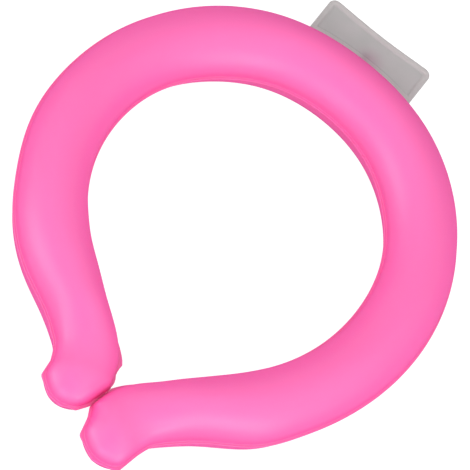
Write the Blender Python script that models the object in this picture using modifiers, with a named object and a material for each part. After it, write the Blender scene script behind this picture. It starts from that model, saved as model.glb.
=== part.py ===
"""Cooling neck ring: two formed skins welded round a seam, the coolant they hold, and a frosted tab at the nape.

Metres. The ring lies flat: +Y points to the nape, -Y to the throat, where its two ends meet, and +Z points up.
The origin is the middle of its footprint, on the surface it lies on.
"""

import math

import bmesh
import bpy
import numpy as np

# The loop, measured to the tube's middle line
LOOP_WIDTH = 0.1386
NAPE_REACH = 0.0810
THROAT_REACH = 0.0935
MEET_SHIFT = 0.0020
MEET_DRIFT = 0.0020

# The tube, its knobs and its welded seam
TUBE_RADIUS = 0.0126
TUBE_HEIGHT = 0.0272
KNOB_HEIGHT = 0.0190
TAPER_LENGTH = 0.0300
SKIN_WALL = 0.0007
SEAM_WIDTH = 0.0014
PRESSED_SEAM_WIDTH = 0.0005
FIT_GAP = 0.0003

# The tab at the nape and the neck that the coolant went in by
TAB_WIDTH = 0.0460
TAB_DEPTH = 0.0160
TAB_THICKNESS = 0.0016
TAB_CORNER_RADIUS = 0.0030
TAB_LIP_WIDTH = 0.0022
TAB_LIP_HEIGHT = 0.0004
NECK_WIDTH = 0.0028
NECK_LENGTH = 0.0075
NECK_THICKNESS = 0.0014
NECK_EDGE_RADIUS = 0.0005

# How finely the surfaces are cut
STATION_STEP = 0.0095
SECTION_ROWS = 5
KNOB_SIDE_STEPS = 3
TAB_EDGE_STEPS = 16
TAB_CORNER_STEPS = 5

# The middle line from the left end, round the nape, to the right end.
# Base "loop": across is a share of half LOOP_WIDTH, along a share of NAPE_REACH, or of THROAT_REACH below zero.
# Base "meet": both are shares of TUBE_RADIUS, counted from the middle of the line where the two ends meet.
# Outer and inner are the half widths to the weld, as shares of TUBE_RADIUS.
# Rim is the inner seam's width, as a share of SEAM_WIDTH.
#   base    across   along  outer  inner  rim
STATIONS = [
    ("meet", -0.94, 0.21, 0.76, 1.10, 1.0),
    ("meet", -1.20, 0.97, 0.84, 1.01, 1.6),
    ("meet", -1.54, 1.45, 0.91, 0.86, 1.0),
    ("meet", -2.08, 1.86, 0.87, 0.88, 1.0),
    ("loop", -0.511, -0.660, 1.00, 1.00, 1.0),
    ("loop", -0.651, -0.576, 1.06, 1.06, 1.0),
    ("loop", -0.766, -0.477, 1.06, 1.06, 1.0),
    ("loop", -0.860, -0.368, 1.00, 1.03, 1.0),
    ("loop", -0.979, -0.128, 1.00, 1.00, 1.0),
    ("loop", -0.997, 0.151, 0.98, 0.98, 1.0),
    ("loop", -0.913, 0.452, 0.99, 1.00, 1.0),
    ("loop", -0.711, 0.726, 1.04, 1.07, 1.0),
    ("loop", -0.396, 0.931, 1.04, 1.07, 1.0),
    ("loop", 0.000, 1.003, 1.02, 1.00, 1.0),
    ("loop", 0.398, 0.940, 1.07, 1.04, 1.0),
    ("loop", 0.722, 0.737, 1.08, 1.05, 1.0),
    ("loop", 0.925, 0.457, 1.02, 1.02, 1.0),
    ("loop", 1.000, 0.151, 1.00, 1.01, 1.0),
    ("loop", 0.974, -0.128, 1.00, 1.00, 1.0),
    ("loop", 0.865, -0.371, 1.03, 1.00, 1.0),
    ("loop", 0.787, -0.490, 1.03, 1.06, 1.0),
    ("loop", 0.683, -0.603, 1.07, 1.07, 1.0),
    ("loop", 0.521, -0.732, 0.96, 0.99, 1.0),
    ("meet", 2.18, 1.45, 0.91, 0.92, 1.0),
    ("meet", 1.68, 0.86, 0.83, 0.90, 1.0),
    ("meet", 1.20, 0.22, 0.84, 1.00, 1.0),
    ("meet", 0.956, -0.516, 0.84, 1.10, 1.0),
]

# Each knob's seam is trimmed by hand to a few straight cuts. The corners run from the arm's outer side to its
# inner side, as shares of TUBE_RADIUS from the middle of the meeting line.
#   across   along
LEFT_CORNERS = [
    (-1.73, -0.62),
    (-1.23, -1.07),
    (-0.75, -1.08),
    (-0.31, -0.83),
    (-0.07, -0.41),
    (0.12, 0.42),
]
RIGHT_CORNERS = [
    (1.73, -1.61),
    (0.94, -1.85),
    (0.21, -1.42),
    (0.08, -0.77),
    (-0.07, -0.41),
]

PINK = (0.96, 0.20, 0.50, 1.0)
COOLANT_BLUE = (0.62, 0.78, 0.86, 1.0)
FROSTED_GREY = (0.42, 0.40, 0.40, 1.0)


def clear_scene():
    for scene_object in list(bpy.data.objects):
        bpy.data.objects.remove(scene_object, do_unlink=True)


def make_material(name, color, roughness, alpha=1.0):
    material = bpy.data.materials.new(name)
    material.use_nodes = True
    shader = material.node_tree.nodes["Principled BSDF"]
    shader.inputs["Base Color"].default_value = color
    shader.inputs["Roughness"].default_value = roughness
    shader.inputs["Metallic"].default_value = 0.0
    shader.inputs["Alpha"].default_value = alpha
    return material


def smooth_through(knots, values, places):
    """Natural cubic curve through the values at the knots, read at the places."""
    gaps = np.diff(knots)
    slopes = np.diff(values) / gaps
    count = len(knots)
    matrix = np.eye(count)
    bends = np.zeros(count)
    for row in range(1, count - 1):
        matrix[row, row - 1] = gaps[row - 1]
        matrix[row, row] = 2.0 * (gaps[row - 1] + gaps[row])
        matrix[row, row + 1] = gaps[row]
        bends[row] = 6.0 * (slopes[row] - slopes[row - 1])
    bends = np.linalg.solve(matrix, bends)
    span = np.clip(np.searchsorted(knots, places, side="right") - 1, 0, count - 2)
    ahead = (knots[span + 1] - places) / gaps[span]
    behind = 1.0 - ahead
    curve = ahead * values[span] + behind * values[span + 1]
    lift = (ahead**3 - ahead) * bends[span] + (behind**3 - behind) * bends[span + 1]
    return curve + lift * gaps[span] ** 2 / 6.0


def meeting_line(along):
    """Sideways place of the line where the two ends press on each other. It drifts over each tube radius of reach."""
    return MEET_SHIFT + MEET_DRIFT * (along + THROAT_REACH) / TUBE_RADIUS


def station_point(base, across, along):
    """A table row's point on the middle line."""
    if base == "meet":
        return MEET_SHIFT + across * TUBE_RADIUS, -THROAT_REACH + along * TUBE_RADIUS
    reach = NAPE_REACH if along > 0.0 else THROAT_REACH
    return across * LOOP_WIDTH / 2.0, along * reach


def middle_line():
    """The stations: their points, outward normals, half widths to the weld, seam shares and places along the line."""
    rows = np.array([station_point(row[0], row[1], row[2]) for row in STATIONS])
    widths = np.array([row[3:6] for row in STATIONS])
    knots = np.concatenate([[0.0], np.cumsum(np.hypot(*np.diff(rows, axis=0).T))])
    places = [knots[0]]
    for start, end in zip(knots[:-1], knots[1:]):
        steps = max(1, math.ceil((end - start) / STATION_STEP - 0.25))
        places.extend(np.linspace(start, end, steps + 1)[1:])
    places = np.array(places)
    points = np.stack([smooth_through(knots, rows[:, axis], places) for axis in (0, 1)], axis=1)
    nudge = 1e-5
    before = np.stack([smooth_through(knots, rows[:, axis], places - nudge) for axis in (0, 1)], axis=1)
    after = np.stack([smooth_through(knots, rows[:, axis], places + nudge) for axis in (0, 1)], axis=1)
    heading = (after - before) / np.linalg.norm(after - before, axis=1, keepdims=True)
    outward = np.stack([-heading[:, 1], heading[:, 0]], axis=1)
    outer = smooth_through(knots, widths[:, 0], places) * TUBE_RADIUS
    inner = smooth_through(knots, widths[:, 1], places) * TUBE_RADIUS
    rim = np.interp(places, knots, widths[:, 2]) * SEAM_WIDTH
    return points, outward, outer, inner, rim, places


def half_heights(places):
    """Half the tube's height at each place: full along the loop, easing down to the knobs over the taper."""
    from_end = np.minimum(places, places[-1] - places)
    share = np.clip(from_end / TAPER_LENGTH, 0.0, 1.0)
    ease = share * share * (3.0 - 2.0 * share)
    return (KNOB_HEIGHT + (TUBE_HEIGHT - KNOB_HEIGHT) * ease) / 2.0


def knob_cuts(corners, start, end):
    """Points along a knob's straight seam cuts, between the arm's outer side and its inner side."""
    meeting = np.array([MEET_SHIFT, -THROAT_REACH])
    path = [start] + [meeting + np.array(corner) * TUBE_RADIUS for corner in corners] + [end]
    cuts = []
    for first, last in zip(path[:-1], path[1:]):
        for step in range(1, KNOB_SIDE_STEPS + 1):
            cuts.append(first + (last - first) * step / KNOB_SIDE_STEPS)
    return np.array(cuts[:-1])


def rounded(line, passes=1):
    """A line with its inner points drawn towards their neighbours, which rounds its corners."""
    line = line.copy()
    for _ in range(passes):
        line[1:-1] = (line[:-2] + 2.0 * line[1:-1] + line[2:]) / 4.0
    return line


def pressed_flat(line, side, clearance):
    """Keeps the points of one arm on its own side of the meeting line. Side is -1 on the left and 1 on the right."""
    line = line.copy()
    near = line[:, 1] < 0.0
    limit = meeting_line(line[:, 1]) + side * clearance
    held = np.minimum(line[:, 0], limit) if side < 0 else np.maximum(line[:, 0], limit)
    line[near, 0] = held[near]
    return line


def ring_outline():
    """The whole outline, one point after another: outer side, right knob, inner side, left knob.

    Gives the middle line's points and half heights, each outline point's station, the weld and the seam's edge.
    """
    points, outward, outer, inner, rim, places = middle_line()
    heights = half_heights(places)
    last = len(points) - 1
    outer_weld = points + outward * outer[:, None]
    inner_weld = points - outward * inner[:, None]
    outer_edge = points + outward * (outer + SEAM_WIDTH)[:, None]
    inner_edge = points - outward * (inner + rim)[:, None]

    knobs = {}
    for side, station, corners in ((-1, 0, LEFT_CORNERS), (1, last, RIGHT_CORNERS)):
        edge = knob_cuts(corners, outer_edge[station], inner_edge[station])
        inwards = points[station] - edge
        inwards /= np.linalg.norm(inwards, axis=1, keepdims=True)
        weld = edge + inwards * SEAM_WIDTH
        weld = rounded(np.vstack([outer_weld[station], weld, inner_weld[station]]))[1:-1]
        knobs[side] = weld, edge

    sides = np.where(np.arange(last + 1) * 2 < last, -1, 1)
    edge_room = FIT_GAP / 2.0
    weld_room = edge_room + PRESSED_SEAM_WIDTH
    for side in (-1, 1):
        mine = sides == side
        outer_weld[mine] = pressed_flat(outer_weld[mine], side, weld_room)
        inner_weld[mine] = pressed_flat(inner_weld[mine], side, weld_room)
        outer_edge[mine] = pressed_flat(outer_edge[mine], side, edge_room)
        inner_edge[mine] = pressed_flat(inner_edge[mine], side, edge_room)
        weld, edge = knobs[side]
        knobs[side] = pressed_flat(weld, side, weld_room), pressed_flat(edge, side, edge_room)

    stations = np.arange(last + 1)
    weld = np.vstack([outer_weld, knobs[1][0], inner_weld[::-1], knobs[-1][0][::-1]])
    edge = np.vstack([outer_edge, knobs[1][1], inner_edge[::-1], knobs[-1][1][::-1]])
    owner = np.concatenate([
        stations,
        np.full(len(knobs[1][0]), last),
        stations[::-1],
        np.zeros(len(knobs[-1][0]), dtype=int),
    ])
    return points, heights, owner, weld, edge


def dome_rows(points, heights, owner, weld, side, foot):
    """One half of the tube: the ridge, then rings that come down a quarter ellipse to the weld, at height foot."""
    ridge = np.column_stack([points, side * heights])
    rings = [ridge]
    for row in range(1, SECTION_ROWS + 1):
        turn = math.pi / 2.0 * row / SECTION_ROWS
        flat = points[owner] + (weld - points[owner]) * math.sin(turn)
        rise = foot + (heights[owner] - foot) * math.cos(turn)
        rings.append(np.column_stack([flat, side * rise]))
    return rings


def ring_faces(owner, ring_starts, side):
    """Faces between the ridge and the first ring, and between each ring and the next, facing out on that side."""
    count = len(owner)
    faces = []
    for place in range(count):
        after = (place + 1) % count
        first, second = int(owner[place]), int(owner[after])
        near, far = ring_starts[0] + place, ring_starts[0] + after
        faces.append([first, far, near] if first == second else [first, second, far, near])
        for low, high in zip(ring_starts[:-1], ring_starts[1:]):
            faces.append([low + place, low + after, high + after, high + place])
    if side < 0:
        faces = [face[::-1] for face in faces]
    return faces


def make_object(name, points, faces, material, collection, lift):
    mesh = bpy.data.meshes.new(name)
    mesh.from_pydata([tuple(point) for point in points + lift], [], faces)
    mesh.materials.append(material)
    mesh.shade_smooth()
    new_object = bpy.data.objects.new(name, mesh)
    collection.objects.link(new_object)
    return new_object


def make_skin(name, side, outline, material, collection, lift):
    """One formed sheet: its half of the tube with the flat seam round it, given its wall inwards."""
    points, heights, owner, weld, edge = outline
    foot = SKIN_WALL + FIT_GAP / 2.0
    rings = dome_rows(points, heights, owner, weld, side, foot)
    rings.append(np.column_stack([edge, np.full(len(edge), side * foot)]))
    starts = [len(points) + ring * len(owner) for ring in range(len(rings) - 1)]
    faces = ring_faces(owner, starts, side)
    skin = make_object(name, np.vstack(rings), faces, material, collection, lift)
    wall = skin.modifiers.new("wall", "SOLIDIFY")
    wall.thickness = SKIN_WALL
    wall.offset = -1.0
    wall.use_even_offset = True
    return skin


def make_coolant(outline, material, collection, lift):
    """The coolant: the tube's inside, with a small gap to the skins all round."""
    points, heights, owner, weld, _edge = outline
    inset = SKIN_WALL + FIT_GAP
    reach = np.linalg.norm(weld - points[owner], axis=1, keepdims=True)
    shore = weld + (points[owner] - weld) / reach * inset
    top = dome_rows(points, heights - inset, owner, shore, 1, 0.0)
    bottom = dome_rows(points, heights - inset, owner, shore, -1, 0.0)
    count, ridge = len(owner), len(points)
    starts = [ridge + ring * count for ring in range(SECTION_ROWS)]
    faces = ring_faces(owner, starts, 1)
    base = ridge + SECTION_ROWS * count
    for face in ring_faces(owner, starts, -1):
        faces.append([index if index >= starts[-1] else index + base for index in face])
    coolant_points = np.vstack(top + bottom[:-1])
    return make_object("coolant_fill", coolant_points, faces, material, collection, lift)


def seam_edge_at(outline, across):
    """How far back the seam's outer edge lies at each sideways place by the nape."""
    points, _heights, _owner, _weld, edge = outline
    outer = edge[: len(points)]
    back = outer[outer[:, 1] > 0.0]
    return np.interp(across, back[:, 0], back[:, 1])


def tab_outline(outline):
    """The tab seen from above: it follows the seam on one side and has two round corners on the other."""
    half = TAB_WIDTH / 2.0
    across = np.linspace(-half, half, TAB_EDGE_STEPS + 1)
    near = np.column_stack([across, seam_edge_at(outline, across) + FIT_GAP])
    far = seam_edge_at(outline, 0.0) + FIT_GAP + TAB_DEPTH
    corners = []
    for side, first_turn in ((1, 0.0), (-1, math.pi / 2.0)):
        centre = np.array([side * (half - TAB_CORNER_RADIUS), far - TAB_CORNER_RADIUS])
        for step in range(TAB_CORNER_STEPS + 1):
            turn = first_turn + math.pi / 2.0 * step / TAB_CORNER_STEPS
            corners.append(centre + TAB_CORNER_RADIUS * np.array([math.cos(turn), math.sin(turn)]))
    return np.vstack([near, corners])


def make_tab(outline, material, collection, lift):
    """A flat plate with a low lip left standing round its top."""
    shape = tab_outline(outline)
    cage = bmesh.new()
    low = [cage.verts.new((x, y, -TAB_THICKNESS / 2.0)) for x, y in shape]
    cage.faces.new(low)
    grown = bmesh.ops.extrude_face_region(cage, geom=list(cage.faces))
    raised = [item for item in grown["geom"] if isinstance(item, bmesh.types.BMVert)]
    bmesh.ops.translate(cage, verts=raised, vec=(0.0, 0.0, TAB_THICKNESS))
    bmesh.ops.recalc_face_normals(cage, faces=list(cage.faces))
    top = [face for face in cage.faces if face.normal.z > 0.5]
    bmesh.ops.inset_region(cage, faces=top, thickness=TAB_LIP_WIDTH, depth=0.0, use_even_offset=True)
    floor = max((face for face in cage.faces if face.normal.z > 0.5), key=lambda face: len(face.verts))
    slope = TAB_LIP_HEIGHT / 2.0
    bmesh.ops.inset_region(cage, faces=[floor], thickness=slope, depth=-TAB_LIP_HEIGHT, use_even_offset=True)
    bmesh.ops.translate(cage, verts=list(cage.verts), vec=tuple(lift))
    mesh = bpy.data.meshes.new("nape_tab")
    cage.to_mesh(mesh)
    cage.free()
    mesh.materials.append(material)
    mesh.shade_smooth()
    mesh.set_sharp_from_angle(angle=math.radians(35.0))
    tab = bpy.data.objects.new("nape_tab", mesh)
    collection.objects.link(tab)
    return tab


def make_neck(outline, material, collection, lift):
    """The sealed neck under the tab's middle, running out from the lower skin just below the seam."""
    points, _heights, owner, weld, _edge = outline
    outer_weld = weld[: len(points)]
    back = outer_weld[outer_weld[:, 1] > 0.0]
    start = float(np.interp(0.0, back[:, 0], back[:, 1])) + FIT_GAP
    top = -max(TAB_THICKNESS / 2.0, SKIN_WALL + FIT_GAP / 2.0) - FIT_GAP
    bpy.ops.mesh.primitive_cube_add(size=1.0)
    neck = bpy.context.object
    neck.name = "fill_neck"
    neck.data.name = "fill_neck"
    middle = np.array([0.0, start + NECK_LENGTH / 2.0, top - NECK_THICKNESS / 2.0]) + lift
    for vertex in neck.data.vertices:
        vertex.co.x *= NECK_WIDTH
        vertex.co.y *= NECK_LENGTH
        vertex.co.z *= NECK_THICKNESS
    neck.location = middle
    bevel = neck.modifiers.new("soft edges", "BEVEL")
    bevel.width = NECK_EDGE_RADIUS
    bevel.segments = 2
    neck.data.materials.append(material)
    neck.data.shade_smooth()
    for other in list(neck.users_collection):
        other.objects.unlink(neck)
    collection.objects.link(neck)
    return neck


def footprint_lift(outline):
    """The shift that brings the middle of the footprint to the origin and the underside to the surface."""
    _points, heights, _owner, _weld, edge = outline
    shape = np.vstack([edge, tab_outline(outline)])
    middle = (shape.min(axis=0) + shape.max(axis=0)) / 2.0
    return np.array([-middle[0], -middle[1], heights.max()])


def build():
    clear_scene()
    collection = bpy.data.collections.new("cooling_neck_ring")
    bpy.context.scene.collection.children.link(collection)
    skin_material = make_material("pink_skin", PINK, 0.45)
    coolant_material = make_material("coolant", COOLANT_BLUE, 0.20)
    tab_material = make_material("frosted_tab", FROSTED_GREY, 0.40, alpha=0.85)

    outline = ring_outline()
    lift = footprint_lift(outline)
    make_skin("upper_skin", 1, outline, skin_material, collection, lift)
    make_skin("lower_skin", -1, outline, skin_material, collection, lift)
    make_coolant(outline, coolant_material, collection, lift)
    make_tab(outline, tab_material, collection, lift)
    make_neck(outline, skin_material, collection, lift)


build()
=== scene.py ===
"""Looks of the cooling neck ring.
Two satin pink films are welded round a seam, with coolant inside and a frosted tab at the nape."""

import math

import bpy
import numpy as np
from mathutils import Matrix, Vector


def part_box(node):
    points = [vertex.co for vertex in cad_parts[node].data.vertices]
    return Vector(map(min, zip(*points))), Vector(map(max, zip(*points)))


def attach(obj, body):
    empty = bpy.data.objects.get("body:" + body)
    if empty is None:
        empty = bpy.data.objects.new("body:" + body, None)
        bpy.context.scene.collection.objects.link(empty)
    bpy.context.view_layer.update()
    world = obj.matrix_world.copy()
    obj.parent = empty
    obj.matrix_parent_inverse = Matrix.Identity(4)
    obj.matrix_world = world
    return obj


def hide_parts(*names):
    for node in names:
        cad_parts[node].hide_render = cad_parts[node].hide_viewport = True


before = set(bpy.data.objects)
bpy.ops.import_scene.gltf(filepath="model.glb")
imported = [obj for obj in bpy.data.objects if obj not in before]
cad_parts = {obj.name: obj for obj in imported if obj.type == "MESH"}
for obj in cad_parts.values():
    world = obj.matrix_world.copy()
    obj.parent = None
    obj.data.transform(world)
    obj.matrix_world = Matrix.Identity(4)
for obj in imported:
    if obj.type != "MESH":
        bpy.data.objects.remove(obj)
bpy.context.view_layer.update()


# The two films. Each is a sheet of soft satin TPU, drawn into a half tube and welded to the other in a seam.
# The seam is trimmed by machine along the loop and by hand round the two knobs, which press on each other.

LOOP_WIDTH = 0.1386
NAPE_REACH = 0.0810
THROAT_REACH = 0.0935
MEET_SHIFT = 0.0020
MEET_DRIFT = 0.0020
TUBE_RADIUS = 0.0126
TUBE_HEIGHT = 0.0272
KNOB_HEIGHT = 0.0190
TAPER_LENGTH = 0.0300
FILM_WALL = 0.0007
FLANGE_WIDTH = 0.0014
WELD_SPREAD = 0.0004
PRESSED_FLANGE_WIDTH = 0.0003
FLANGE_TOP = 0.00042
FILM_GAP = 0.00002
ARM_GAP = 0.00002
CREASE_RADIUS = 0.00040
FLANGE_EDGE_RADIUS = 0.00030
STATION_STEP = 0.0013
CUT_STEPS = 14
WELD_EASE = 0.0032
WELD_EASE_REACH = 4.5 * TUBE_RADIUS
WELD_EASE_FADE = 1.5 * TUBE_RADIUS
DOME_ROWS = 26
DOME_EASE = 0.0016
DOME_EASE_REACH = 0.0440
DOME_EASE_RIM = 4.0
DOME_EASE_PARTS = 24
# Share of the way to the weld from which the seam is painted deeper pink, as painted shade in the crease.
SEAM_SHADE_START = 0.975
CREASE_ROWS = 5
FLANGE_ROWS = 4
FLANGE_EDGE_ROWS = 3

# The tube's middle line, from the left knob round the nape to the right knob.
# Base "loop": across is a share of half LOOP_WIDTH, along a share of NAPE_REACH, or THROAT_REACH below zero.
# Base "meet": both are shares of TUBE_RADIUS from the middle of the line where the knobs meet.
# Outer and inner are the half widths to the weld, as shares of TUBE_RADIUS; rim is the inner flange's share.
#   base    across   along  outer  inner  rim
STATIONS = [
    ("meet", -0.94, 0.21, 0.76, 1.10, 1.0),
    ("meet", -1.20, 0.97, 0.84, 1.01, 1.6),
    ("meet", -1.54, 1.45, 0.91, 0.86, 1.0),
    ("meet", -2.08, 1.86, 0.87, 0.88, 1.0),
    ("loop", -0.511, -0.660, 1.00, 1.00, 1.0),
    ("loop", -0.651, -0.576, 1.06, 1.06, 1.0),
    ("loop", -0.766, -0.477, 1.06, 1.06, 1.0),
    ("loop", -0.860, -0.368, 1.00, 1.03, 1.0),
    ("loop", -0.979, -0.128, 1.00, 1.00, 1.0),
    ("loop", -0.997, 0.151, 0.98, 0.98, 1.0),
    ("loop", -0.913, 0.452, 0.99, 1.00, 1.0),
    ("loop", -0.711, 0.726, 1.04, 1.07, 1.0),
    ("loop", -0.396, 0.931, 1.04, 1.07, 1.0),
    ("loop", 0.000, 1.003, 1.02, 1.00, 1.0),
    ("loop", 0.398, 0.940, 1.07, 1.01, 1.0),
    ("loop", 0.722, 0.737, 1.08, 1.01, 1.0),
    ("loop", 0.925, 0.457, 1.02, 1.00, 1.0),
    ("loop", 1.000, 0.151, 1.00, 1.01, 1.0),
    ("loop", 0.974, -0.128, 1.00, 1.00, 1.0),
    ("loop", 0.865, -0.371, 1.03, 1.00, 1.0),
    ("loop", 0.787, -0.490, 1.03, 1.06, 1.0),
    ("loop", 0.683, -0.603, 1.07, 1.07, 1.0),
    ("loop", 0.521, -0.732, 0.92, 0.99, 1.0),
    ("meet", 2.18, 1.45, 0.86, 0.92, 1.0),
    ("meet", 1.68, 0.86, 0.83, 0.90, 1.0),
    ("meet", 1.20, 0.22, 0.84, 1.00, 1.0),
    ("meet", 0.956, -0.516, 0.84, 1.10, 1.0),
]

# Corners of each knob's hand-cut flange, from the arm's outer side to its inner, in shares of TUBE_RADIUS.
LEFT_CORNERS = [
    (-1.73, -0.62),
    (-1.20, -1.03),
    (-0.76, -1.05),
    (-0.31, -0.83),
    (-0.07, -0.41),
    (0.12, 0.42),
]
RIGHT_CORNERS = [(1.73, -1.61), (0.94, -1.85), (0.21, -1.42), (0.08, -0.77), (-0.07, -0.41)]


def smooth_through(knots, values, places):
    """Natural cubic curve: a straight mix of the two nearest values, lifted by bends that make it smooth."""
    gaps = np.diff(knots)
    slopes = np.diff(values) / gaps
    count = len(knots)
    matrix = np.eye(count)
    bends = np.zeros(count)
    inner = np.arange(1, count - 1)
    matrix[inner, inner - 1] = gaps[:-1]
    matrix[inner, inner] = 2.0 * (gaps[:-1] + gaps[1:])
    matrix[inner, inner + 1] = gaps[1:]
    bends[inner] = 6.0 * np.diff(slopes)
    bends = np.linalg.solve(matrix, bends)
    span = np.clip(np.searchsorted(knots, places, side="right") - 1, 0, count - 2)
    ahead = (knots[span + 1] - places) / gaps[span]
    behind = 1.0 - ahead
    curve = ahead * values[span] + behind * values[span + 1]
    lift = (ahead**3 - ahead) * bends[span] + (behind**3 - behind) * bends[span + 1]
    return curve + lift * gaps[span] ** 2 / 6.0


def station_points():
    """The table's points: loop rows scaled by the loop's half width and reach, meet rows by tube radius."""
    base = np.array([row[0] == "meet" for row in STATIONS])
    across, along = np.array([row[1:3] for row in STATIONS]).T
    reach = np.where(along > 0.0, NAPE_REACH, THROAT_REACH)
    loop = np.column_stack([across * LOOP_WIDTH / 2.0, along * reach])
    meet = np.column_stack([MEET_SHIFT + across * TUBE_RADIUS, along * TUBE_RADIUS - THROAT_REACH])
    return np.where(base[:, None], meet, loop)


def middle_line(step):
    """Middle line at even places: a cubic through the stations. Outward is its heading turned a quarter."""
    rows = station_points()
    widths = np.array([row[3:6] for row in STATIONS])
    knots = np.concatenate([[0.0], np.cumsum(np.hypot(*np.diff(rows, axis=0).T))])
    places = np.linspace(0.0, knots[-1], int(round(knots[-1] / step)) + 1)
    points = np.stack([smooth_through(knots, rows[:, axis], places) for axis in (0, 1)], axis=1)
    heading = np.gradient(points, places, axis=0)
    heading /= np.linalg.norm(heading, axis=1, keepdims=True)
    outward = np.stack([-heading[:, 1], heading[:, 0]], axis=1)
    outer = smooth_through(knots, widths[:, 0], places) * TUBE_RADIUS
    inner = smooth_through(knots, widths[:, 1], places) * TUBE_RADIUS
    rim = np.interp(places, knots, widths[:, 2]) * FLANGE_WIDTH
    return points, outward, outer, inner, rim, places


def half_heights(places):
    """Half the tube's height: full along the loop, easing to the knobs as 3s^2 - 2s^3 over the taper."""
    from_end = np.minimum(places, places[-1] - places)
    share = np.clip(from_end / TAPER_LENGTH, 0.0, 1.0)
    ease = share * share * (3.0 - 2.0 * share)
    return (KNOB_HEIGHT + (TUBE_HEIGHT - KNOB_HEIGHT) * ease) / 2.0


def rounded(line, passes):
    """A line whose inner points move to a quarter, half, quarter mean with their neighbours, many times."""
    line = line.copy()
    for _ in range(passes):
        line[1:-1] = (line[:-2] + 2.0 * line[1:-1] + line[2:]) / 4.0
    return line


def pressed_flat(line, side, clearance):
    """Holds one arm behind the meeting line x = shift + drift (y + reach) / radius, a clearance away."""
    line = line.copy()
    limit = MEET_SHIFT + MEET_DRIFT * (line[:, 1] + THROAT_REACH) / TUBE_RADIUS + side * clearance
    held = np.minimum(line[:, 0], limit) if side < 0 else np.maximum(line[:, 0], limit)
    line[:, 0] = np.where(line[:, 1] < 0.0, held, line[:, 0])
    return line


# The left knob's inner side, cut in short snips after its pointed corner, in shares of TUBE_RADIUS as above.
LEFT_SNIPS = [(-0.085, 1.36), (-0.062, 1.029), (0.035, 0.847), (0.079, 0.691), (0.059, 0.467)]


def snipped(line, inset):
    """The left arm's inner line, held at the snips' sideways place, less an inset, over their stretch."""
    snips = np.array(LEFT_SNIPS) * TUBE_RADIUS + (MEET_SHIFT, -THROAT_REACH)
    across = np.interp(line[:, 1], snips[::-1, 1], snips[::-1, 0]) - inset
    held = (line[:, 1] < snips[0, 1]) & (line[:, 1] > snips[-1, 1]) & (line[:, 0] < LOOP_WIDTH / 8.0)
    line = line.copy()
    line[held, 0] = across[held]
    return line


def knob_seam(corners, middle, outer_weld, inner_weld, outer_edge, inner_edge):
    """A knob's flange: straight cuts between the corners, with the weld a rim inside, rounded off."""
    meeting = np.array([MEET_SHIFT, -THROAT_REACH])
    path = np.vstack([outer_edge, meeting + np.array(corners) * TUBE_RADIUS, inner_edge])
    share = np.arange(1, (len(path) - 1) * CUT_STEPS) / CUT_STEPS
    edge = np.column_stack([np.interp(share, np.arange(len(path)), path[:, axis]) for axis in (0, 1)])
    inwards = middle - edge
    inwards /= np.linalg.norm(inwards, axis=1, keepdims=True)
    rim = FLANGE_WIDTH - WELD_SPREAD
    weld = rounded(np.vstack([outer_weld, edge + inwards * rim, inner_weld]), CUT_STEPS * 2)[1:-1]
    return weld, rounded(edge, 2)


def eased_round(loop, step):
    """The closed weld line with corners eased near the knobs by a quarter, half, quarter mean, many times.
    A pass spreads a corner over 0.7 of a step, and n passes over 0.7 of a step times the root of n."""
    from_meeting = np.linalg.norm(loop - (MEET_SHIFT, -THROAT_REACH), axis=1)
    share = np.clip((WELD_EASE_REACH - from_meeting) / WELD_EASE_FADE, 0.0, 1.0)[:, None]
    eased = loop.copy()
    for _ in range(max(2, int(2.0 * (WELD_EASE / step) ** 2))):
        eased = (np.roll(eased, 1, axis=0) + 2.0 * eased + np.roll(eased, -1, axis=0)) / 4.0
    return loop + (eased - loop) * share


def ring_outline(step):
    """The outline: outer side, right knob, inner side, left knob. Owner is each point's middle station.
    Gives the middle line, its half heights, the owners, the weld line and the flange's edge."""
    points, outward, outer, inner, rim, places = middle_line(step)
    last = len(points) - 1
    lines = {
        "outer_weld": points + outward * (outer + WELD_SPREAD)[:, None],
        "inner_weld": points - outward * (inner + WELD_SPREAD)[:, None],
        "outer_edge": points + outward * (outer + FLANGE_WIDTH)[:, None],
        "inner_edge": points - outward * (inner + rim)[:, None],
    }
    knobs = {}
    for side, station, corners in ((-1, 0, LEFT_CORNERS), (1, last, RIGHT_CORNERS)):
        ends = [line[station] for line in lines.values()]
        knobs[side] = knob_seam(corners, points[station], *ends)
    on_left = np.arange(last + 1) * 2 < last
    lines["inner_edge"][on_left] = snipped(lines["inner_edge"][on_left], 0.0)
    lines["inner_weld"][on_left] = snipped(lines["inner_weld"][on_left], FLANGE_WIDTH - WELD_SPREAD)
    for side, mine in ((-1, on_left), (1, ~on_left)):
        for name in lines:
            room = ARM_GAP + (PRESSED_FLANGE_WIDTH if name.endswith("weld") else 0.0)
            lines[name][mine] = pressed_flat(lines[name][mine], side, room)
        weld, edge = knobs[side]
        weld = pressed_flat(weld, side, ARM_GAP + PRESSED_FLANGE_WIDTH)
        knobs[side] = (weld, pressed_flat(edge, side, ARM_GAP))
    weld = np.vstack([lines["outer_weld"], knobs[1][0], lines["inner_weld"][::-1], knobs[-1][0][::-1]])
    weld = eased_round(weld, step)
    edge = np.vstack([lines["outer_edge"], knobs[1][1], lines["inner_edge"][::-1], knobs[-1][1][::-1]])
    stations = np.arange(last + 1)
    owner = np.concatenate([
        stations, np.full(len(knobs[1][0]), last), stations[::-1], np.zeros(len(knobs[-1][0]), dtype=int),
    ])
    return points, half_heights(places), owner, weld, edge


points, heights, owner, weld, edge = ring_outline(STATION_STEP)
low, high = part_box("upper_skin")
ring_middle = np.array([low.x + high.x, low.y + high.y]) / 2.0
LIFT = np.append(ring_middle - (edge.min(axis=0) + edge.max(axis=0)) / 2.0, TUBE_HEIGHT / 2.0)


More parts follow.
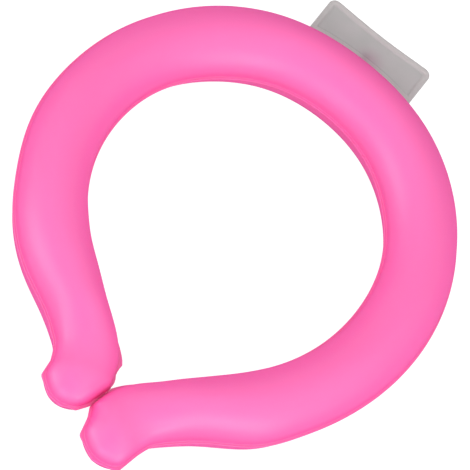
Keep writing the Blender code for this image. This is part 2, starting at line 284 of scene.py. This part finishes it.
def film_profile():
    """Rows from the ridge to the flange's edge, each five numbers: the share of the way to the weld, the
    step past it, the share of the way to the edge, the share of the height, the rise above mid plane."""
    turn = np.linspace(0.0, math.pi / 2.0, DOME_ROWS + 1)[1:]
    rows = [(math.sin(a), 0.0, 0.0, math.cos(a), FLANGE_TOP + CREASE_RADIUS) for a in turn]
    for a in np.linspace(0.0, math.pi / 2.0, CREASE_ROWS + 1)[1:]:
        step = CREASE_RADIUS * (1.0 - math.cos(a))
        rows.append((1.0, step, 0.0, 0.0, FLANGE_TOP + CREASE_RADIUS * (1.0 - math.sin(a))))
    for share in np.linspace(0.0, 1.0, FLANGE_ROWS + 1)[1:]:
        step = CREASE_RADIUS * (1.0 - share) - FLANGE_EDGE_RADIUS * share
        rows.append((1.0, step, share, 0.0, FLANGE_TOP))
    for a in np.linspace(0.0, math.pi / 2.0, FLANGE_EDGE_ROWS + 1)[1:]:
        step = -FLANGE_EDGE_RADIUS * (1.0 - math.sin(a))
        rows.append((1.0, step, 1.0, 0.0, FLANGE_TOP - FLANGE_EDGE_RADIUS * (1.0 - math.cos(a))))
    rows.append((1.0, 0.0, 1.0, 0.0, FILM_GAP))
    return np.array(rows)


def place_rows(rows, weld, edge, middle, half_height):
    """Points of every row round the outline, from the middle to the weld and then on towards the edge."""
    out = edge - weld
    out /= np.maximum(np.linalg.norm(out, axis=1, keepdims=True), 1e-9)
    to_weld, step, to_edge, tall, rise = rows.T[:, :, None]
    flat = middle + (weld - middle) * to_weld[..., None] + (edge - weld) * to_edge[..., None]
    flat = flat + out * step[..., None]
    up = rise + (half_height - rise) * tall
    return np.concatenate([flat, up[..., None]], axis=2)


def row_faces(start, rows, count):
    """Quads between each row of a closed outline and the next."""
    place = np.arange(count)
    starts = start + np.arange(rows - 1)[:, None] * count
    low = (starts + place).ravel()
    low_after = (starts + np.roll(place, -1)).ravel()
    return np.column_stack([low, low_after, low_after + count, low + count])


def film_faces(ridge_length, rows, turned):
    """Faces from the ridge line over all the rows to the last ridge line: triangles where both points of a
    row have one owner, quads elsewhere. Turned ones face down."""
    count = len(owner)
    place = np.arange(count)
    after = np.roll(place, -1)
    last_row = ridge_length + (rows - 1) * count
    last_ridge = last_row + count
    shared = owner[place] == owner[after]
    first, second = owner[place], owner[after]
    near, far = ridge_length + place, ridge_length + after
    triangles = [np.column_stack([first, far, near])[shared]]
    quads = [np.column_stack([first, second, far, near])[~shared], row_faces(ridge_length, rows, count)]
    first, second = first + last_ridge, second + last_ridge
    near, far = last_row + place, last_row + after
    triangles.append(np.column_stack([near, far, first])[shared])
    quads.append(np.column_stack([near, far, second, first])[~shared])
    way = -1 if turned else 1
    return [face for group in triangles + quads for face in group[:, ::way].tolist()]


def make_piece(name, points, faces, material):
    """A smooth mesh from arrays, moved to its place on the frame."""
    mesh = bpy.data.meshes.new(name)
    mesh.from_pydata((points + LIFT).tolist(), [], faces)
    mesh.materials.append(material)
    mesh.shade_smooth()
    piece = bpy.data.objects.new(name, mesh)
    bpy.context.scene.collection.objects.link(piece)
    return piece


def add_attribute(piece, name, values):
    """A value for each point of a piece, for its material."""
    attribute = piece.data.attributes.new(name, "FLOAT", "POINT")
    attribute.data.foreach_set("value", values.astype(np.float32))


def eased_dome(ridge, rows):
    """Height of the outside near the knobs, so that the fan round a knob's end joins its arm without a line.
    The square of the way out to the weld is averaged round each point of the plan with a bell curve of the
    easing radius, and the height is the half height times the root of one less that mean."""
    ways = np.sin(np.linspace(0.0, math.pi / 2.0, DOME_ROWS + 1))[1:-1]
    dome = rows[: len(ways)]
    meeting = (MEET_SHIFT, -THROAT_REACH)
    along = np.linalg.norm(np.roll(dome, -1, axis=1) - np.roll(dome, 1, axis=1), axis=2)
    area = along * np.gradient(ways)[:, None] * np.linalg.norm(weld - points[owner], axis=1)
    near = np.linalg.norm(weld - meeting, axis=1) < DOME_EASE_REACH
    on_left = owner * 2 < len(points)
    for arm in (on_left, ~on_left):
        mine = np.flatnonzero(arm & near)
        plan = dome[:, mine, :2].reshape(-1, 2)
        square = np.repeat(ways**2, len(mine))
        weight = area[:, mine].ravel()
        ends = np.unique(owner[mine])
        spots = np.vstack([plan, points[ends]])
        means = []
        for some in np.array_split(spots, DOME_EASE_PARTS):
            apart = ((some[:, None] - plan[None]) ** 2).sum(axis=2)
            pull = np.exp(-apart / (2.0 * DOME_EASE**2)) * weight
            means.append(pull @ square / pull.sum(axis=1))
        own = np.concatenate([square, np.zeros(len(ends))])
        from_meeting = np.linalg.norm(spots - meeting, axis=1)
        fade = np.clip((DOME_EASE_REACH - 3.0 * DOME_EASE - from_meeting) / TUBE_RADIUS, 0.0, 1.0)
        fade *= np.clip(DOME_EASE_RIM * (1.0 - np.sqrt(own)), 0.0, 1.0)
        eased = own + (np.concatenate(means) - own) * fade
        tall = heights[np.concatenate([np.tile(owner[mine], len(ways)), ends])]
        up = tall * np.sqrt(1.0 - eased)
        change = (up - tall * np.sqrt(1.0 - own))[: len(plan)]
        dome[:, mine, 2] += change.reshape(len(ways), -1)
        ridge[ends, 2] = up[len(plan):]


def make_film(name, side, material):
    """One film: ridge, dome, crease and flange outside, and the dome again one wall inside."""
    middle, tall = points[owner], heights[owner][None, :]
    rows = film_profile()
    outside = place_rows(rows, weld, edge, middle, tall)
    inside_rows = rows[: DOME_ROWS][::-1].copy()
    inside_rows[:, 4] = FILM_GAP
    reach = np.linalg.norm(weld - middle, axis=1, keepdims=True)
    inside_weld = weld + (middle - weld) / reach * FILM_WALL
    inside = place_rows(inside_rows, inside_weld, edge, middle, tall - FILM_WALL)
    ridge = np.column_stack([points, heights])
    inside_ridge = np.column_stack([points, heights - FILM_WALL])
    eased_dome(ridge, outside)
    cloud = np.vstack([ridge, outside.reshape(-1, 3), inside.reshape(-1, 3), inside_ridge])
    cloud[:, 2] *= side
    all_rows = len(outside) + len(inside)
    faces = film_faces(len(ridge), all_rows, side < 0)
    film = make_piece(name, cloud, faces, material)
    to_weld, height_share = rows[:, 0], rows[:, 3]
    # Painted shade: the dome's foot by the weld, the crease and the flange get a share of deeper pink in the
    # attribute "seam".
    seam_shade_rows = np.clip((to_weld - SEAM_SHADE_START) / (1.0 - SEAM_SHADE_START), 0.0, 1.0) * (height_share < 0.2)
    seam_shade_points = np.zeros(len(cloud))
    seam_shade_points[len(ridge) : len(ridge) + len(rows) * len(owner)] = np.repeat(seam_shade_rows, len(owner))
    add_attribute(film, "seam", seam_shade_points)
    return film


def new_material(name):
    """A material, its node tree and the shader in it."""
    material = bpy.data.materials.new(name)
    material.use_nodes = True
    tree = material.node_tree
    return material, tree, tree.nodes["Principled BSDF"]


def noise(tree, place, scale, detail):
    """Noise at a place socket."""
    node = tree.nodes.new("ShaderNodeTexNoise")
    node.inputs["Scale"].default_value = scale
    node.inputs["Detail"].default_value = detail
    tree.links.new(place, node.inputs["Vector"])
    return node.outputs["Fac"]


def bumped(tree, shader, height, strength, distance):
    """Bump of the shader's surface from a height socket."""
    node = tree.nodes.new("ShaderNodeBump")
    node.inputs["Strength"].default_value = strength
    node.inputs["Distance"].default_value = distance
    tree.links.new(height, node.inputs["Height"])
    tree.links.new(node.outputs["Normal"], shader.inputs["Normal"])


def mixed(tree, factor, first, second):
    """Mix of two colours by a factor socket. Each colour is a tuple or a socket."""
    node = tree.nodes.new("ShaderNodeMix")
    node.data_type = "RGBA"
    tree.links.new(factor, node.inputs["Factor"])
    for name, colour in (("A", first), ("B", second)):
        if isinstance(colour, tuple):
            node.inputs[name].default_value = colour
        else:
            tree.links.new(colour, node.inputs[name])
    return node.outputs["Result"]


def remapped(tree, value, source, result):
    """A value socket carried from one range to another, held inside it."""
    node = tree.nodes.new("ShaderNodeMapRange")
    for name, pair in (("From", source), ("To", result)):
        node.inputs[name + " Min"].default_value = pair[0]
        node.inputs[name + " Max"].default_value = pair[1]
    tree.links.new(value, node.inputs["Value"])
    return node


def attribute_value(tree, name):
    """The value that a mesh gives each point under a name."""
    node = tree.nodes.new("ShaderNodeAttribute")
    node.attribute_name = name
    return node.outputs["Fac"]


def satin_film():
    """Satin pink TPU with a fine pressed grain. Its colour drifts slowly at random, is painted deeper pink
    along the seam as painted shade in the crease and on the flange, and its gloss fades towards grazing
    views."""
    material, tree, shader = new_material("satin_pink_film")
    place = tree.nodes.new("ShaderNodeTexCoord").outputs["Object"]
    grain = noise(tree, place, 2400.0, 3.0)
    bumped(tree, shader, grain, 0.10, 0.00004)
    tint = mixed(tree, noise(tree, place, 28.0, 2.0), (0.93, 0.103, 0.386, 1.0), (0.95, 0.112, 0.406, 1.0))
    # Painted shade: deeper pink along the seam's crease and flange.
    colour = mixed(tree, attribute_value(tree, "seam"), tint, (0.91, 0.090, 0.355, 1.0))
    tree.links.new(colour, shader.inputs["Base Color"])
    rough = remapped(tree, grain, (0.0, 1.0), (0.46, 0.56))
    tree.links.new(rough.outputs["Result"], shader.inputs["Roughness"])
    view = tree.nodes.new("ShaderNodeLayerWeight")
    view.inputs["Blend"].default_value = 0.5
    gloss = remapped(tree, view.outputs["Facing"], (0.30, 0.80), (1.0, 0.04))
    tree.links.new(gloss.outputs["Result"], shader.inputs["Specular IOR Level"])
    shader.inputs["Subsurface Weight"].default_value = 0.20
    shader.inputs["Subsurface Radius"].default_value = (1.0, 0.35, 0.5)
    shader.inputs["Subsurface Scale"].default_value = 0.003
    return material


pink = satin_film()
upper_film = make_film("upper_film", 1, pink)
lower_film = make_film("lower_film", -1, pink)
for film, node in ((upper_film, "upper_skin"), (lower_film, "lower_skin")):
    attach(film, "root")
    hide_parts(node)


# The coolant, a pale gel that fills the tube and sets firm in the cold. It was poured in by the neck and is
# sealed in.

COOLANT_ROWS = 8
COOLANT_ROOM = 0.0003


def make_coolant(material):
    """The tube's inside: quarter ellipses from the ridge to the weld, above and below the mid plane."""
    middle = points[owner]
    inset = FILM_WALL + COOLANT_ROOM
    reach = np.linalg.norm(weld - middle, axis=1, keepdims=True)
    shore = weld + (middle - weld) / reach * inset
    turn = np.linspace(0.0, math.pi, 2 * COOLANT_ROWS + 1)[1:-1]
    flat = middle + (shore - middle) * np.sin(turn)[:, None, None]
    up = (heights[owner] - inset) * np.cos(turn)[:, None]
    rows = np.concatenate([flat, up[..., None]], axis=2)
    ridge = np.column_stack([points, heights - inset])
    keel = np.column_stack([points, inset - heights])
    cloud = np.vstack([ridge, rows.reshape(-1, 3), keel])
    faces = film_faces(len(ridge), len(rows), False)
    return make_piece("coolant", cloud, faces, material)


def pale_gel():
    """Waxy pale blue gel with faint clouding."""
    material, tree, shader = new_material("pale_coolant_gel")
    place = tree.nodes.new("ShaderNodeTexCoord").outputs["Object"]
    clouding = noise(tree, place, 300.0, 4.0)
    bumped(tree, shader, clouding, 0.2, 0.0002)
    tint = mixed(tree, clouding, (0.60, 0.77, 0.86, 1.0), (0.74, 0.86, 0.92, 1.0))
    tree.links.new(tint, shader.inputs["Base Color"])
    shader.inputs["Roughness"].default_value = 0.25
    return material


coolant = make_coolant(pale_gel())
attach(coolant, "root")
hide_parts("coolant_fill")


# The tab at the nape, a frosted plate of clear soft TPU with a low lip round its top. It is welded to the
# seam's outer edge.

TAB_WIDTH = 0.0462
TAB_DEPTH = 0.0160
TAB_THICKNESS = 0.0016
TAB_CORNER_RADIUS = 0.0030
TAB_GAP = 0.00015
TAB_SKEW = 0.018
TAB_WAIST = 0.0007
LIP_WIDTH = 0.0017
LIP_SLOPE = 0.0010
LIP_HEIGHT = 0.0005
ROOT_WIDTH = 0.0030
TAB_EDGE_RADIUS = 0.00045
TAB_EDGE_STEPS = 60
TAB_CORNER_STEPS = 12
TAB_EDGE_ROWS = 12
LIP_SLOPE_ROWS = 8
PANEL_INSET = 0.0031
UNDER_INSET = 0.0030
NECK_SPOT = (0.0018, 0.1012, 0.0136)
NECK_SPOT_RADIUS = 0.0075


def nape_seam_at(across):
    """How far back the seam's outer edge lies at each sideways place by the nape."""
    outer = edge[: len(points)]
    back = outer[outer[:, 1] > 0.0]
    return np.interp(across, back[:, 0], back[:, 1])


def tab_loop(inset, root):
    """Plan of the tab set in by a distance, and from the tube by root: the seam's curve, then the far edge,
    leaning by the skew and drawn in by the waist, between two quarter-circle corners."""
    half = TAB_WIDTH / 2.0 - inset
    across = np.linspace(-half, half, TAB_EDGE_STEPS + 1)
    near = np.column_stack([across, nape_seam_at(across) + TAB_GAP + root])
    far = nape_seam_at(0.0) + TAB_GAP + TAB_DEPTH - inset
    radius = max(TAB_CORNER_RADIUS - inset, 0.0002)
    turn = np.linspace(0.0, math.pi / 2.0, TAB_CORNER_STEPS + 1)
    arc = radius * np.column_stack([np.cos(turn), np.sin(turn)])
    right_corner = np.array([half - radius, far - radius]) + arc
    left_corner = right_corner[::-1] * (-1.0, 1.0)
    steps = np.linspace(0.0, 1.0, TAB_EDGE_STEPS // 2 + 1)[1:-1, None]
    right_side = near[-1] + (right_corner[0] - near[-1]) * steps
    far_side = right_corner[-1] + (left_corner[0] - right_corner[-1]) * steps
    left_side = left_corner[-1] + (near[0] - left_corner[-1]) * steps
    waist = np.clip(1.0 - (far_side[:, 0] / (half - radius)) ** 2, 0.0, 1.0)
    far_side[:, 1] -= TAB_WAIST * waist**1.5
    loop = np.vstack([near, right_side, right_corner, far_side, left_corner, left_side])
    lean = np.clip((loop[:, 1] - nape_seam_at(0.0)) / TAB_DEPTH, 0.0, 1.0)
    loop[:, 1] += TAB_SKEW * loop[:, 0] * lean
    return loop


def make_tab(material):
    """Loops set in from the outline: a rounded edge, the lip, its slope and the panel, with a flat face on
    each side. The attribute "lip" is the share of painted highlight, a paler colour on the top of the
    rounded edge and the lip, most on the far lip."""
    half = TAB_THICKNESS / 2.0
    turn = np.linspace(-math.pi / 2.0, math.pi / 2.0, TAB_EDGE_ROWS + 1)
    insets = TAB_EDGE_RADIUS * (1.0 - np.cos(turn))
    rises = np.sign(np.round(turn, 9)) * (half - TAB_EDGE_RADIUS) + TAB_EDGE_RADIUS * np.sin(turn)
    slope = np.linspace(0.0, 1.0, LIP_SLOPE_ROWS + 1)
    ease = slope * slope * (3.0 - 2.0 * slope)
    insets = np.concatenate([[UNDER_INSET], insets, LIP_WIDTH + LIP_SLOPE * slope, [PANEL_INSET]])
    rises = np.concatenate([[-half], rises, half - LIP_HEIGHT * ease, [half - LIP_HEIGHT]])
    root_insets = [0.0, TAB_EDGE_RADIUS, LIP_WIDTH, PANEL_INSET]
    root_rooms = [0.0, TAB_EDGE_RADIUS, ROOT_WIDTH, ROOT_WIDTH + PANEL_INSET - LIP_WIDTH]
    roots = np.interp(insets, root_insets, root_rooms)
    loops = [tab_loop(inset, root) for inset, root in zip(insets, roots)]
    rows = np.stack([np.column_stack([loop, np.full(len(loop), rise)]) for loop, rise in zip(loops, rises)])
    total, count = rows.shape[:2]
    place = np.arange(count)
    faces = row_faces(0, total, count).tolist()
    faces.append(place[::-1].tolist())
    faces.append((place + (total - 1) * count).tolist())
    plate = make_piece("nape_tab_plate", rows.reshape(-1, 3), faces, material)
    top_of_edge = TAB_EDGE_ROWS + 1
    slope_start = top_of_edge + 1
    marks = [top_of_edge - TAB_EDGE_ROWS // 2, top_of_edge, slope_start, slope_start + LIP_SLOPE_ROWS]
    # Painted highlight along the top of the rounded edge and the lip, fading down the lip's slope.
    pale = np.interp(np.arange(total), marks, [0.0, 0.7, 1.0, 0.0])
    way_out = (rows[2, :, 1] - nape_seam_at(0.0) - TAB_GAP) / TAB_DEPTH
    strength = 0.20 + 0.45 * np.clip(way_out, 0.0, 1.0) ** 3
    add_attribute(plate, "lip", np.outer(pale, strength).ravel())
    return plate


def frosted_plate():
    """Clear TPU with a ground surface and faint mottling. Light passes in a blur. A painted mauve
    spot stands for the neck that shows from below, and the lip is painted paler as a painted highlight."""
    material, tree, shader = new_material("frosted_clear_plate")
    place = tree.nodes.new("ShaderNodeTexCoord").outputs["Object"]
    bumped(tree, shader, noise(tree, place, 1500.0, 3.0), 0.15, 0.00005)
    tint = mixed(tree, noise(tree, place, 120.0, 2.0), (0.45, 0.45, 0.44, 1.0), (0.56, 0.52, 0.53, 1.0))
    from_neck = tree.nodes.new("ShaderNodeVectorMath")
    from_neck.operation = "DISTANCE"
    from_neck.inputs[1].default_value = NECK_SPOT
    tree.links.new(place, from_neck.inputs[0])
    shows = remapped(tree, from_neck.outputs["Value"], (0.0, NECK_SPOT_RADIUS), (0.65, 0.0))
    shows.interpolation_type = "SMOOTHSTEP"
    colour = mixed(tree, shows.outputs["Result"], tint, (0.46, 0.29, 0.37, 1.0))
    # Painted highlight: the top of the tab's edge and lip is painted paler.
    colour = mixed(tree, attribute_value(tree, "lip"), colour, (0.68, 0.62, 0.62, 1.0))
    tree.links.new(colour, shader.inputs["Base Color"])
    shader.inputs["Roughness"].default_value = 0.42
    shader.inputs["Transmission Weight"].default_value = 0.35
    shader.inputs["IOR"].default_value = 1.45
    return material


tab = make_tab(frosted_plate())
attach(tab, "root")
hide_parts("nape_tab")


# The filling neck, a short pink tube left on the seam after filling, pressed flat and sealed. The tab covers
# it.

NECK_WIDTH = 0.0028
NECK_LENGTH = 0.0075
NECK_THICKNESS = 0.0012
NECK_ROOT_GAP = 0.0003
NECK_TAB_GAP = 0.00012
NECK_SEGMENTS = 28
NECK_ROWS = 18


def make_neck(material):
    """A flat tube: an ellipse carried back from the seam, flared at its root and pinched to a wide end."""
    outer_weld = weld[: len(points)]
    back = outer_weld[outer_weld[:, 1] > 0.0]
    start = float(np.interp(0.0, back[:, 0], back[:, 1])) + NECK_ROOT_GAP
    top = -TAB_THICKNESS / 2.0 - NECK_TAB_GAP
    along = np.linspace(0.0, 1.0, NECK_ROWS)
    wide = 1.0 + 0.35 * np.exp(-along * 9.0) + 0.25 * np.clip(along - 0.75, 0.0, 1.0) * 4.0
    thick = 1.0 - 0.45 * np.clip(along - 0.70, 0.0, 0.30) / 0.30
    end = np.sqrt(np.clip(1.0 - np.clip((along - 0.93) / 0.07, 0.0, 1.0) ** 2, 0.02, 1.0))
    turn = np.linspace(0.0, 2.0 * math.pi, NECK_SEGMENTS + 1)[:-1]
    x = NECK_WIDTH / 2.0 * (wide * end)[:, None] * np.cos(turn) / 1.1
    z = NECK_THICKNESS / 2.0 * ((thick * end)[:, None] * np.sin(turn) - 1.0) + top
    y = np.broadcast_to(start + along[:, None] * NECK_LENGTH, x.shape)
    level = top - NECK_THICKNESS / 2.0
    ends = np.array([[0.0, start, level], [0.0, start + NECK_LENGTH, level]])
    cloud = np.vstack([np.stack([x, y, z], axis=2).reshape(-1, 3), ends])
    count = NECK_SEGMENTS
    place = np.arange(count)
    after = np.roll(place, -1)
    faces = row_faces(0, NECK_ROWS, count)[:, [0, 3, 2, 1]].tolist()
    root, tip = NECK_ROWS * count, NECK_ROWS * count + 1
    last = (NECK_ROWS - 1) * count
    faces += np.column_stack([place, after, np.full(count, root)]).tolist()
    faces += np.column_stack([last + after, last + place, np.full(count, tip)]).tolist()
    return make_piece("filling_neck", cloud, faces, material)


neck = make_neck(pink)
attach(neck, "root")
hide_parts("fill_neck")


# Floor, light and camera. The camera looks down on the throat side and is rolled. The floor's white comes
# mostly from its own glow, and diffuse and glossy rays pass through it, so it doesn't whiten the flanks.

FLOOR_REACH = 6.0
FLOOR_GLOW = 0.95
ROOM_LIGHT = 0.50
SOFT_BOX_DISTANCE = 1.6
# Each soft box: azimuth from the throat side and elevation in degrees, side in metres, power in watts
SOFT_BOXES = [
    (0.0, 20.0, 1.0, 8.2),
    (60.0, 20.0, 1.0, 11.9),
    (300.0, 20.0, 1.0, 11.5),
    (240.0, 20.0, 1.0, 1.2),
    (90.0, 35.0, 1.3, 2.3),
    (120.0, 62.0, 1.3, 4.6),
    (240.0, 62.0, 1.3, 3.9),
    (60.0, 62.0, 1.3, 0.8),
    (300.0, 62.0, 1.3, 0.6),
]
CAMERA_DISTANCE = 6.0
CAMERA_ELEVATION = 55.0
CAMERA_ROLL = 38.7
METRES_PER_PIXEL = 0.000365
FRAME_PIXELS = 470
SENSOR_WIDTH = 36.0
AIM = (0.00331, 0.00274, 0.0136)

floor_mesh = bpy.data.meshes.new("floor")
corners = np.array([(-1.0, -1.0, 0.0), (1.0, -1.0, 0.0), (1.0, 1.0, 0.0), (-1.0, 1.0, 0.0)]) * FLOOR_REACH
floor_mesh.from_pydata(corners.tolist(), [], [(0, 1, 2, 3)])
floor = bpy.data.objects.new("floor", floor_mesh)
bpy.context.scene.collection.objects.link(floor)
floor_material, floor_tree, floor_shader = new_material("white_floor")
floor_shader.inputs["Base Color"].default_value = (0.20, 0.20, 0.20, 1.0)
floor_shader.inputs["Roughness"].default_value = 0.9
floor_shader.inputs["Specular IOR Level"].default_value = 0.0
floor_shader.inputs["Emission Color"].default_value = (1.0, 1.0, 1.0, 1.0)
floor_shader.inputs["Emission Strength"].default_value = FLOOR_GLOW
floor_mesh.materials.append(floor_material)
floor.visible_diffuse = False
floor.visible_glossy = False

world = bpy.data.worlds.new("studio")
bpy.context.scene.world = world
world.use_nodes = True
world.node_tree.nodes["Background"].inputs["Color"].default_value = (1.0, 1.0, 1.0, 1.0)
world.node_tree.nodes["Background"].inputs["Strength"].default_value = ROOM_LIGHT

for number, (azimuth, elevation, side, power) in enumerate(SOFT_BOXES):
    turn, rise = math.radians(azimuth), math.radians(elevation)
    way = Vector((math.sin(turn) * math.cos(rise), -math.cos(turn) * math.cos(rise), math.sin(rise)))
    light = bpy.data.lights.new(f"soft_box_{number}", "AREA")
    light.energy = power
    light.size = side
    box = bpy.data.objects.new(f"soft_box_{number}", light)
    facing = way.to_track_quat("Z", "Y").to_matrix().to_4x4()
    box.matrix_world = Matrix.Translation(way * SOFT_BOX_DISTANCE) @ facing
    bpy.context.scene.collection.objects.link(box)

target = Vector(AIM)
rise = math.radians(CAMERA_ELEVATION)
back = Vector((0.0, -math.cos(rise), math.sin(rise)))
camera_data = bpy.data.cameras.new("camera")
camera_data.sensor_width = SENSOR_WIDTH
camera_data.lens = SENSOR_WIDTH * CAMERA_DISTANCE / (FRAME_PIXELS * METRES_PER_PIXEL)
camera_data.clip_end = 100.0
camera = bpy.data.objects.new("camera", camera_data)
roll = Matrix.Rotation(math.radians(CAMERA_ROLL), 3, back)
upright = back.to_track_quat("Z", "Y").to_matrix()
camera.matrix_world = Matrix.Translation(target + back * CAMERA_DISTANCE) @ (roll @ upright).to_4x4()
bpy.context.scene.collection.objects.link(camera)
bpy.context.scene.camera = camera
bpy.context.scene.view_settings.view_transform = "Standard"
